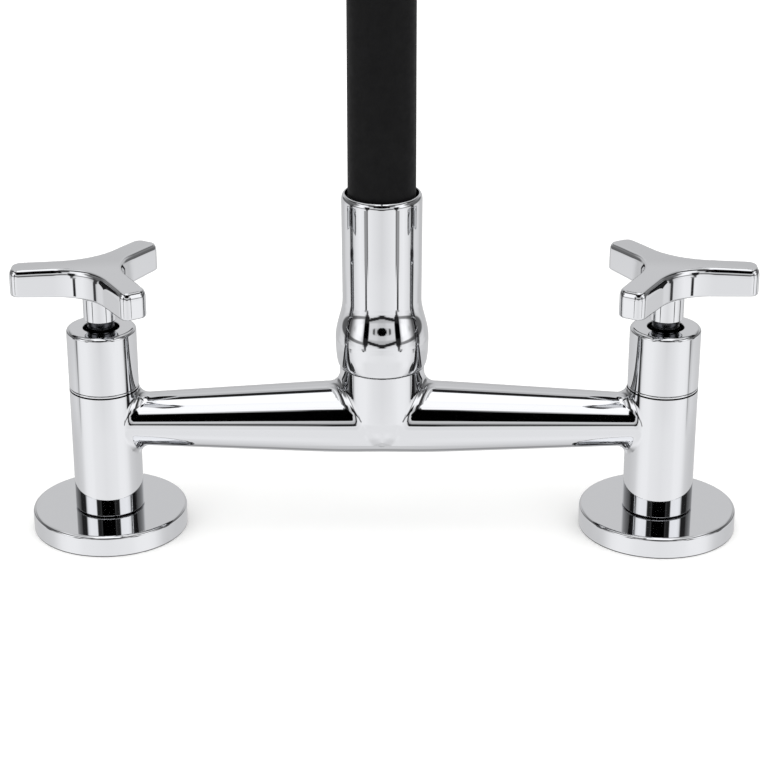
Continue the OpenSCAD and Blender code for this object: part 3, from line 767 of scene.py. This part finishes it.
def roundUnion(a, b, radius):
    u, v = np.maximum(radius - a, 0), np.maximum(radius - b, 0)
    return np.maximum(radius, np.minimum(a, b)) - np.hypot(u, v)


# Two forms with the fillet of a ball that rolls along both, whatever their angle
def filleted(first, second, radius, points):
    a, b = first(points), second(points)
    result = np.minimum(a, b)
    spot = np.flatnonzero((a < radius) & (b < radius))
    if len(spot) == 0:
        return result
    p, u, v = points[spot], radius - a[spot], radius - b[spot]
    slopeA, slopeB = slopeOf(first, p), slopeOf(second, p)
    cosine = (slopeA * slopeB).sum(1) / np.maximum(
        np.linalg.norm(slopeA, axis=1) * np.linalg.norm(slopeB, axis=1), 1e-9)
    between = (u > cosine * v) & (v > cosine * u) & (cosine < 0.999)
    ball = np.sqrt(np.maximum(u * u + v * v - 2 * cosine * u * v, 0)
                   / np.maximum(1 - cosine ** 2, 1e-6))
    result[spot] = np.where(between, radius - ball, result[spot])
    return result


# The bridge body. From here on the sizes of pieces are in millimetres.

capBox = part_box("left_cap")
pillarX = -(capBox[0].x + capBox[1].x) / 2 / mm
pillarR = (capBox[1].x - capBox[0].x) / 2 / mm
seamZ = capBox[0].z / mm
capTop = capBox[1].z / mm
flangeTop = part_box("left_flange")[1].z / mm

bridge = {
    "armZ": 42.4, "armRise": 1.5, "armEnd": 9.1, "hubBar": 13.3, "hubHalf": 16.0,
    "neckR": 15.3, "neckTop": 64.6, "neckFoot": 3.0, "neckBore": 10.0, "neckDepth": 12.0,
    "collar": 0.6, "pillarFillet": 4.0, "neckFillet": 5.0, "footGroove": 0.4,
    "footHeight": 0.6, "footTurned": 1.2, "joint": 0.22, "shoulder": 0.45,
    "rimWall": 1.8, "lip": 3.9, "lipWall": 3.0,
    "crown": 5.0,  # over this length the two arms meet without a crease
    "taperStart": 4.0,  # and over this length their taper begins
    "mesh": 1.0,
}
sides = (("left", -pillarX), ("right", pillarX))


def armField(points):
    crown = bridge["crown"]
    x = np.hypot(points[:, 0], crown) - crown ** 2 / (np.abs(points[:, 0]) + 2 * crown)
    y, z = points[:, 1], points[:, 2]
    hubZ = bridge["armZ"] + bridge["armRise"]
    tilt = math.atan(bridge["armRise"] / pillarX)
    t = x * math.cos(tilt) - (z - hubZ) * math.sin(tilt)
    off = np.hypot(y, x * math.sin(tilt) + (z - hubZ) * math.cos(tilt))
    slope = (bridge["hubBar"] - bridge["armEnd"]) / (pillarX - bridge["hubHalf"])
    soft = bridge["taperStart"]
    past = soft * np.logaddexp(0, (t - bridge["hubHalf"]) / soft)
    arm = off - (bridge["hubBar"] - slope * past)
    return np.maximum(arm, np.abs(points[:, 0]) - pillarX)


def neckField(points):
    foot = bridge["armZ"] + bridge["armRise"] + bridge["neckFoot"]
    below = np.maximum(foot - points[:, 2], 0)
    return np.sqrt(points[:, 0] ** 2 + points[:, 1] ** 2 + below ** 2) - bridge["neckR"]


def pillarField(points):
    return np.hypot(np.abs(points[:, 0]) - pillarX, points[:, 1]) - pillarR


def bridgeField(points):
    near = np.abs(points[:, 0]) < pillarX / 2
    body = np.empty(len(points))
    body[near] = filleted(armField, neckField, bridge["neckFillet"], points[near])
    body[~near] = filleted(armField, pillarField, bridge["pillarFillet"], points[~near])
    return body


def buildBridge():
    lowZ, highZ = flangeTop + bridge["footTurned"], seamZ - bridge["shoulder"] - 0.2
    wide, deep, over = pillarX + pillarR + 2.5, 18.5, 1.5  # of the box that is sampled
    neckR, top = bridge["neckR"], bridge["neckTop"]
    collar, bore = top - bridge["collar"], bridge["neckBore"]
    skin = skinOf(bridgeField, (-wide, -deep, lowZ - over), (wide, deep, top + over),
                  bridge["mesh"])
    vertices, faces, normals = trimmedSkin(bridgeField, skin, [
        ((0, 0, collar), (0, 0, 1)), ((0, 0, lowZ), (0, 0, -1))])
    keep = vertices[:, 2] <= highZ + 1e-3
    keep |= np.abs(vertices[:, 0]) < pillarX - pillarR - 6
    parts = [(vertices, [f for f in faces if all(keep[i] for i in f)], normals)]
    groove, footTop = pillarR - bridge["footGroove"], flangeTop + bridge["footHeight"]
    foot = [(groove - 1.5, flangeTop), (groove, flangeTop), (groove, footTop),
            (pillarR, footTop, bridge["joint"]), (pillarR, lowZ)]
    wall, inner, lip = pillarR - bridge["rimWall"], pillarR - bridge["lipWall"], bridge["lip"]
    rim = [(pillarR, highZ), (pillarR, seamZ, bridge["shoulder"]), (wall, seamZ),
           (wall, seamZ + lip, 0.3), (inner, seamZ + lip)]
    for _, x in sides:
        parts += [turnedPart(foot, (x, 0)), turnedPart(rim, (x, 0))]
    parts.append(turnedPart([(neckR, collar), (neckR, top, bridge["joint"]),
                             (bore, top, 0.3), (bore, top - bridge["neckDepth"])]))
    makePiece("bridgeBody", parts, "body", "bridge", ["bridge_body"])


buildBridge()
print("bridge body made")


# The flanges, washers and nuts, and the threaded shanks below the worktop

flange = {"edge": 1.2, "footEdge": 0.35, "bore": 10.78, "recess": 24.0, "seal": 2.0}
fixing = {
    "threadPitch": 1.814,  # half-inch pipe thread
    "threadDepth": 0.9, "lead": 0.8, "bore": 7.0, "nutChamfer": 1.2, "nutSlope": 1.9,
    "gap": 0.4, "nutGap": 0.06,
}


def heightsOf(name):
    low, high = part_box(name)
    return low.z / mm, high.z / mm


def radiusOf(name):
    low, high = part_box(name)
    return (high.y - low.y) / 2 / mm


def buildFlanges():
    radius = radiusOf("left_flange")
    low, high = heightsOf("left_flange")
    profile = outline([
        (flange["bore"], flange["seal"]), (flange["recess"], flange["seal"]),
        (flange["recess"], low), (radius, low, flange["footEdge"]),
        (radius, high, flange["edge"]), (flange["bore"], high)], steps=10)
    for side, x in sides:
        makePiece(side + "Flange", [turned(profile, (x, 0), 160)], "flange",
                  "bridge", [side + "_flange"])


def threadRadius(crest, top):
    def radiusAt(angle, height):
        turns = height / fixing["threadPitch"] - angle / (2 * math.pi)
        wave = np.abs((turns % 1) - 0.5) * 2
        tooth = np.clip((wave - 0.12) / 0.76, 0, 1)
        ease = np.clip((top - height) / 1.2, 0, 1)
        return crest - fixing["threadDepth"] * tooth * ease
    return radiusAt


def chamferEdge(acrossFlats):
    return acrossFlats / 2 * 1.155 - fixing["nutChamfer"]


def nutRadius(acrossFlats, low, high):
    def radiusAt(angle, height):
        fold = (angle + math.pi / 6) % (math.pi / 3) - math.pi / 6
        flats = acrossFlats / 2 / np.cos(fold)
        edge = np.minimum(height - low, high - height)
        cone = chamferEdge(acrossFlats) + fixing["nutSlope"] * edge
        return np.minimum(flats, cone)
    return radiusAt


def washerOf(node, bore, centre, rounding=0.2):
    low, high = heightsOf(node)
    outer = radiusOf(node)
    return turned(outline([(bore, low, rounding), (outer, low, rounding),
                           (outer, high, rounding), (bore, high, rounding)]), centre)


def buildFixings():
    low, high = heightsOf("left_shank")
    crest, bore, lead = radiusOf("left_shank"), fixing["bore"], fixing["lead"]
    nutLow, nutHigh = heightsOf("lock_nuts")
    flats = radiusOf("lock_nuts") * 2
    edge, inner, loose = chamferEdge(flats), crest + fixing["nutGap"], crest + fixing["gap"]
    pieces, nuts, washers, rings, seals = [], [], [], [], []
    for side, x in sides:
        centre = (x, 0)
        rows = np.arange(low + lead, high - 0.01, fixing["threadPitch"] / 8)
        ends = [(bore, high - 0.5), (bore, low, 0.3), (crest - 0.9, low, 0.2),
                (crest - 0.1, low + lead)]
        lid = [(crest, rows[-1]), (crest, high, 0.2), (bore, high, 0.3), (bore, high - 0.5)]
        pieces.append(makePiece(side + "Shank", [
            wrapped(threadRadius(crest, high), rows, centre, 96),
            turnedPart(ends, centre), turnedPart(lid, centre)],
            "brass", "bridge", [side + "_shank"]))
        rows = np.concatenate([np.linspace(nutLow, nutLow + 1, 6),
                               np.linspace(nutHigh - 1, nutHigh, 6)])
        nuts += [wrapped(nutRadius(flats, nutLow, nutHigh), rows, centre, 120),
                 turnedPart([(edge, nutHigh), (inner, nutHigh, 0.4), (inner, nutLow, 0.4),
                             (edge, nutLow)], centre, 120)]
        washers.append(washerOf("rubber_washers", loose, centre, 0.5))
        rings.append(washerOf("clamp_washers", loose, centre))
        seals.append(washerOf("flange_seals", flange["bore"], centre, 0.3))
    for name, parts, material, node, slot in (
            ("lockNuts", nuts, "brass", "lock_nuts", "brass"),
            ("rubberWashers", washers, "seal", "rubber_washers", "black_rubber"),
            ("clampWashers", rings, "steel", "clamp_washers", "steel"),
            ("flangeSeals", seals, "seal", "flange_seals", "black_rubber")):
        pieces.append(makePiece(name, parts, material, "bridge", [node]))
    return pieces


buildFlanges()
for fitting in buildFixings():
    fitting.visible_glossy = False  # the worktop stands between them and the chrome
print("flanges and fixings made")


# The caps of the two valves

cap = {"edge": 1.4, "wall": 1.7, "roof": 2.5, "hole": 6.6, "holeEdge": 0.35}


def buildCaps():
    profile = outline([
        (pillarR - cap["wall"], seamZ, 0.12), (pillarR, seamZ, bridge["joint"]),
        (pillarR, capTop, cap["edge"]), (cap["hole"], capTop, cap["holeEdge"]),
        (cap["hole"], capTop - cap["roof"], 0.2),
        (pillarR - cap["wall"], capTop - cap["roof"], 0.3)], steps=10)
    for side, x in sides:
        makePiece(side + "Cap", [turned(profile, (x, 0), 128)], "cap", "bridge",
                  [side + "_cap"])


buildCaps()
print("caps made")


# The handles, three arms with hollow curves between them, and the valve stems

handle = {
    "reach": 31.8, "width": 10.0, "tip": 3.3, "web": 22.0, "plate": 10.0, "crown": 1.0,
    "neck": 6.15, "neckHeight": 10.0, "topIn": 1.3, "topDown": 3.0, "footEdge": 0.8,
    "neckFillet": 1.3, "neckTop": 4.0, "restTurn": 1.0, "screw": 2.05, "screwEdge": 0.25,
    "stemBore": 4.95, "mesh": 0.5,
}
gripZ = heightsOf("left_handle")[0]


def roundedPair(a, b):
    return np.hypot(np.maximum(a, 0), np.maximum(b, 0)) + np.minimum(np.maximum(a, b), 0)


def starDistance(x, y):
    angle = (np.arctan2(y, x) + math.pi / 3) % (2 * math.pi / 3) - math.pi / 3
    radius = np.hypot(x, y)
    u, v = radius * np.cos(angle), np.abs(radius * np.sin(angle))
    half, tip = handle["width"] / 2, handle["tip"]
    away = (handle["web"] + half) / math.sin(math.pi / 3)
    hollow = handle["web"] - np.hypot(u - away / 2, v - handle["web"] - half)
    a, b = u - handle["reach"] + tip, v - half + tip
    return np.where(u < away / 2, hollow, roundedPair(a, b) - tip)


def handleField(points):
    x, y, z = points.T
    turn = math.pi + math.radians(handle["restTurn"])
    across = starDistance(x * math.cos(turn) + y * math.sin(turn),
                          y * math.cos(turn) - x * math.sin(turn))
    foot = gripZ + handle["neckHeight"]
    reach2 = (x * x + y * y) / handle["reach"] ** 2
    top = foot + handle["plate"] + handle["crown"] * (1 - reach2)
    upper = roundedPair(across / handle["topIn"] + 1, (z - top) / handle["topDown"] + 1) - 1
    edge = handle["footEdge"]
    lower = roundedPair(across + edge, foot - z + edge) - edge
    plate = np.maximum(upper * handle["topIn"], lower)
    neck = np.maximum(np.hypot(x, y) - handle["neck"], z - foot - handle["neckTop"])
    body = roundUnion(plate, neck, handle["neckFillet"])
    hole = np.hypot(x, z - gripZ - handle["neckHeight"] / 2) - handle["screw"]
    hole, edge = np.maximum(hole, -y), handle["screwEdge"]
    return np.minimum(-edge, np.maximum(body, -hole)) + np.hypot(
        np.maximum(edge + body, 0), np.maximum(edge - hole, 0))


def buildHandles():
    wide = handle["reach"] + 1.2
    low = gripZ + 0.6
    tall = gripZ + handle["neckHeight"] + handle["plate"] + handle["crown"] + 1
    skin = skinOf(handleField, (-wide, -wide, gripZ - 0.8), (wide, wide, tall),
                  handle["mesh"])
    skin = trimmedSkin(handleField, skin, [((0, 0, low), (0, 0, -1))])
    bore, neck = handle["stemBore"], handle["neck"]
    foot = turnedPart([(bore, low + 1), (bore, gripZ, 0.15), (neck - 0.4, gripZ, 0.1),
                       (neck, gripZ + 0.4, 0.1), (neck, low)])
    for side, x in sides:
        parts = []
        for vertices, faces, normals in (skin, foot):
            flip = np.array([-np.sign(x), 1, 1])
            if x > 0:
                faces = [f[::-1] for f in faces]
            parts.append((vertices * flip + (x, 0, 0), faces, normals * flip))
        makePiece(side + "Handle", parts, "chrome", side + "_grip", [side + "_handle"])


stem = {
    "radius": 4.9, "driver": 6.0, "driverHeight": 3.4, "shaft": 3.6, "shaftTop": 14.0,
    "shoulder": 2.0, "groove": 0.5, "grooveLow": 0.6, "grooveHigh": 1.5, "pin": 1.1,
}


def buildStems():
    low, high = heightsOf("left_spindle")
    radius, driver, shaft = stem["radius"], stem["driver"], stem["shaft"]
    driverTop, shaftTop = low + stem["driverHeight"], capTop - stem["shaftTop"]
    groove, pin = radius - stem["groove"], radius - stem["pin"]
    grooveLow, grooveHigh = capTop + stem["grooveLow"], capTop + stem["grooveHigh"]
    shoulder = gripZ + stem["shoulder"]
    profile = [
        (0.05, low), (driver, low, 0.2), (driver, driverTop, 0.2), (shaft, driverTop, 0.2),
        (shaft, shaftTop, 0.2), (radius, shaftTop, 0.2), (radius, grooveLow, 0.12),
        (groove, grooveLow, 0.1), (groove, grooveHigh, 0.1), (radius, grooveHigh, 0.12),
        (radius, shoulder, 0.15), (pin, shoulder, 0.2), (pin, high, 0.3), (0.05, high)]
    for side, x in sides:
        makePiece(side + "Stem", [turnedPart(profile, (x, 0), 72)], "stem",
                  side + "_grip", [side + "_spindle"])


buildHandles()
buildStems()
print("handles made")


# The spout: a chromed foot, and a rubber-covered hose that holds its curve

sleeve = {
    "bore": 13.15, "foot": 15.4, "bulge": 16.75, "waist": 14.15, "mouth": 14.35,
    "footHeight": 10.2, "waistHeight": 25.4, "lip": (1.0, 2.6), "footEdge": 0.2,
}
sleeveLow, sleeveHigh = heightsOf("spout_sleeve")


def eased(first, last, start, rise, count):
    return [(last + (first - last) * (1 + math.cos(math.pi * t)) / 2, start + rise * t, None)
            for t in np.linspace(0.04, 1, count)]


def buildSleeve():
    low, high, bulge = sleeveLow, sleeveHigh, sleeve["bulge"]
    corners = [(sleeve["bore"], low, 0.15), (sleeve["foot"], low, sleeve["footEdge"])]
    for a in np.radians(np.linspace(8, 90, 22)):
        corners.append((sleeve["foot"] + (bulge - sleeve["foot"]) * math.sin(a),
                        low + sleeve["footHeight"] * (1 - math.cos(a)), None))
    rise = sleeve["waistHeight"] - sleeve["footHeight"]
    corners += eased(bulge, sleeve["waist"], low + sleeve["footHeight"], rise, 26)
    across, tall = sleeve["lip"]
    for a in np.radians(np.linspace(0, 84, 16)):
        corners.append((sleeve["mouth"] - across * (1 - math.cos(a)),
                        high - tall * (1 - math.sin(a)), None))
    corners += [(sleeve["mouth"] - across, high, 0.1), (sleeve["bore"], high, 0.1)]
    makePiece("spoutSleeve", [turned(outline(corners, steps=10), (0, 0), 128)], "chrome",
              "spout", ["spout_sleeve"])


hose = {
    "radius": 12.05, "wall": 2.25, "coverLow": 12.1, "coverEnd": 360.0,
    "core": 9.6, "coreWall": 3.0, "coreDrop": 4.0, "pitch": 6.0, "rib": 0.35, "ribSteps": 8,
    "line": 5.5, "lineWall": 1.5, "lineLow": -4.5, "lineEnd": 344.0,
    "bendRadius": 100.0, "bendZ": 402.0, "stiff": 13.0,
}


def spoutPath(start, end, step):
    radius, top = hose["bendRadius"], hose["bendZ"]
    up = np.linspace(start, top, max(2, int((top - start) / step) + 1))
    round_ = np.linspace(0, math.pi, int(math.pi * radius / step) + 1)[1:]
    down = np.linspace(top, end, max(2, int((top - end) / step) + 1))[1:]
    points = [(0, 0, z) for z in up]
    tangents = [(0, 0, 1.0)] * len(up)
    points += [(0, -radius + radius * math.cos(a), top + radius * math.sin(a))
               for a in round_]
    tangents += [(0, -math.sin(a), math.cos(a)) for a in round_]
    points += [(0, -2 * radius, z) for z in down]
    tangents += [(0, 0, -1.0)] * len(down)
    return np.array(points), np.array(tangents)


def pipe(outer, inner, start, end, step, segments=64):
    path, tangents = spoutPath(start, end, step)
    side = np.array([1.0, 0, 0])
    parts = [swept(outer, path, tangents, side, segments),
             swept(inner, path, tangents, side, segments, inward=True)]
    rims = np.broadcast_to(outer, len(path))
    for i, sign in ((0, -1), (-1, 1)):
        ring = np.array([inner, rims[i]] if sign < 0 else [rims[i], inner])
        vertices, faces, _ = swept(ring, path[[i, i]], tangents[[i, i]], side, segments)
        parts.append((vertices, faces, np.tile(tangents[i] * sign, (len(vertices), 1))))
    return parts


def buildHose():
    top, far = hose["bendZ"], 2 * hose["bendRadius"]
    cover = makePiece("hoseCover", pipe(
        hose["radius"], hose["radius"] - hose["wall"], sleeveLow + hose["coverLow"],
        hose["coverEnd"], 4.0), "hose", None, ["hose_cover"])
    ends, step = top - hose["coreDrop"], hose["pitch"] / hose["ribSteps"]
    path, _ = spoutPath(ends, ends, step)
    phase = np.arange(len(path)) * 2 * math.pi / hose["ribSteps"]
    ribs = hose["core"] - hose["rib"] * (1 - np.cos(phase)) / 2
    core = makePiece("gooseneckCore", pipe(
        ribs, hose["core"] - hose["coreWall"], ends, ends, step, 48),
        "steel", None, ["gooseneck_core"])
    line = makePiece("waterHose", pipe(
        hose["line"], hose["line"] - hose["lineWall"], sleeveLow + hose["lineLow"],
        hose["lineEnd"], 5.0, 36), "liner", None, ["water_hose"])
    for piece in (cover, core, line):
        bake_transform(piece)


buildSleeve()
buildHose()
print("spout made")


# The spray head

head = {
    "y": -200.0, "seam": 335.0, "sleeveTop": 385.0, "foot": 15.25, "taper": 0.4,
    "ringTop": 291.0, "shoulder": 19.6, "bore": 7.1, "socket": 9.7, "socketLow": 3.0,
    "spigot": 13.05, "spigotHeight": 12.0, "journal": 16.5, "journalHeight": 12.4,
}
selector = {
    "low": 275.0, "high": 290.7, "radius": 20.0, "flutes": 24, "fluteDepth": 0.5,
    "fluteEnd": 3.0, "bevel": 0.8, "bore": 16.6, "floor": 5.0,
}
face = {
    "lift": 0.4, "top": 3.2, "radius": 17.9, "middle": 7.4, "nozzles": 18,
    "circles": ((15, 0), (11.5, 0.5)),  # radius, and turn in steps of a nozzle
    "nozzle": 0.75, "hole": 0.3,
}


def buildHead():
    centre = (0, head["y"])
    low, high, foot = head["seam"], head["sleeveTop"], head["foot"]
    corners = [(sleeve["bore"], low, 0.15), (foot, low, 0.25)]
    corners += eased(foot, sleeve["waist"], low, head["taper"] * (high - low), 24)
    corners += [(sleeve["mouth"], high, 0.5), (sleeve["bore"], high, 0.25)]
    makePiece("headSleeve", [turned(outline(corners, steps=8), centre, 112)],
              "chrome", "spray_head", ["head_sleeve"])
    top, bottom = head["ringTop"], head["ringTop"] - head["journalHeight"]
    seam, spigotTop, step = low - 0.05, low + head["spigotHeight"], low + head["socketLow"]
    bore, socket, spigot, journal = (
        head[k] for k in ("bore", "socket", "spigot", "journal"))
    makePiece("headBody", [turned(outline([
        (bore, bottom, 0.2), (journal, bottom, 0.3), (journal, top, 0.1),
        (head["shoulder"], top, 0.35), (foot, seam, 0.25), (spigot, seam, 0.1),
        (spigot, spigotTop, 0.3), (socket, spigotTop, 0.3), (socket, step, 0.2),
        (bore, step, 0.2)]), centre, 112)],
        "platedPlastic", "spray_head", ["head_body"])


def fluteRadius(low, high):
    bevel = selector["bevel"]

    def radiusAt(angle, height):
        wave = (1 + np.cos(angle * selector["flutes"])) / 2
        fade = np.clip((high - selector["fluteEnd"] - height) / 0.8, 0, 1)
        edge = np.clip(1 - np.minimum(height - low, high - height) / bevel, 0, 1)
        return (selector["radius"] - selector["fluteDepth"] * wave ** 2 * fade
                - bevel * edge ** 2)
    return radiusAt


def buildSelector():
    centre = (0, head["y"])
    low, high, bevel = selector["low"], selector["high"], selector["bevel"]
    fluteTop, floor = high - selector["fluteEnd"], low + selector["floor"]
    rows = np.concatenate([np.linspace(low, low + bevel, 6), [low + 4, low + 8],
                           np.linspace(fluteTop - 0.9, fluteTop + 0.1, 5),
                           np.linspace(high - bevel, high, 6)])
    rim, seat = selector["radius"] - bevel, face["radius"] + 0.05
    inner = [(rim, high), (selector["bore"], high, 0.3), (selector["bore"], floor, 0.2),
             (seat, floor, 0.2), (seat, low, 0.2), (rim, low)]
    makePiece("selectorRing", [
        wrapped(fluteRadius(low, high), rows, centre, selector["flutes"] * 10),
        turnedPart(inner, centre)], "blackPlastic", "selector", ["selector_ring"])


def buildFace():
    low, top = selector["low"] + face["lift"], selector["low"] + face["top"]
    middle, wide, r, hole = (face[k] for k in ("middle", "radius", "nozzle", "hole"))
    parts = [turned(outline([(middle, low, 0.3), (wide, low, 0.3), (wide, top, 0.2),
                             (middle, top, 0.2)]), (0, head["y"]))]
    tip = selector["low"] + 0.02
    profile = [(hole, low + 0.2), (hole, tip, 0.05), (r, tip, 0.2), (r + 0.25, low + 0.1)]
    for i in range(face["nozzles"]):
        for radius, turn in face["circles"]:
            a = 2 * math.pi * (i + turn) / face["nozzles"]
            spot = (radius * math.cos(a), head["y"] + radius * math.sin(a))
            parts.append(turnedPart(profile, spot, 16, 3))
    makePiece("sprayFace", parts, "seal", "selector", ["spray_face"])


buildHead()
buildSelector()
buildFace()
print("spray head made")


# The hidden pieces keep their solids and get their materials

slotFinish = {
    "chrome": "chrome", "flange_chrome": "chrome", "brass": "brass",
    "black_rubber": "seal", "hose_rubber": "hose", "clear_hose": "liner",
    "steel": "steel", "dark_steel": "steel", "ceramic": "ceramic",
    "white_plastic": "acetal", "chromed_plastic": "platedPlastic",
    "black_plastic": "blackPlastic", "grey_plastic": "acetal",
}


# Only the top of a cartridge shows, in the cap's hole. It takes the dark stem
# finish in place of its brass: painted shade in the hole.
shadedCartridges = {"left_cartridge": "stem", "right_cartridge": "stem"}


def dressHidden():
    slots = {part["node"]: part["material_slot"] for part in frame["record"]["subparts"]}
    for name, node in frame["nodes"].items():
        material = finish[shadedCartridges.get(name) or slotFinish[slots[name]]]
        if not node.data.materials:
            node.data.materials.append(material)
        for spot in node.material_slots:
            spot.material = material


dressHidden()
print("hidden pieces dressed")
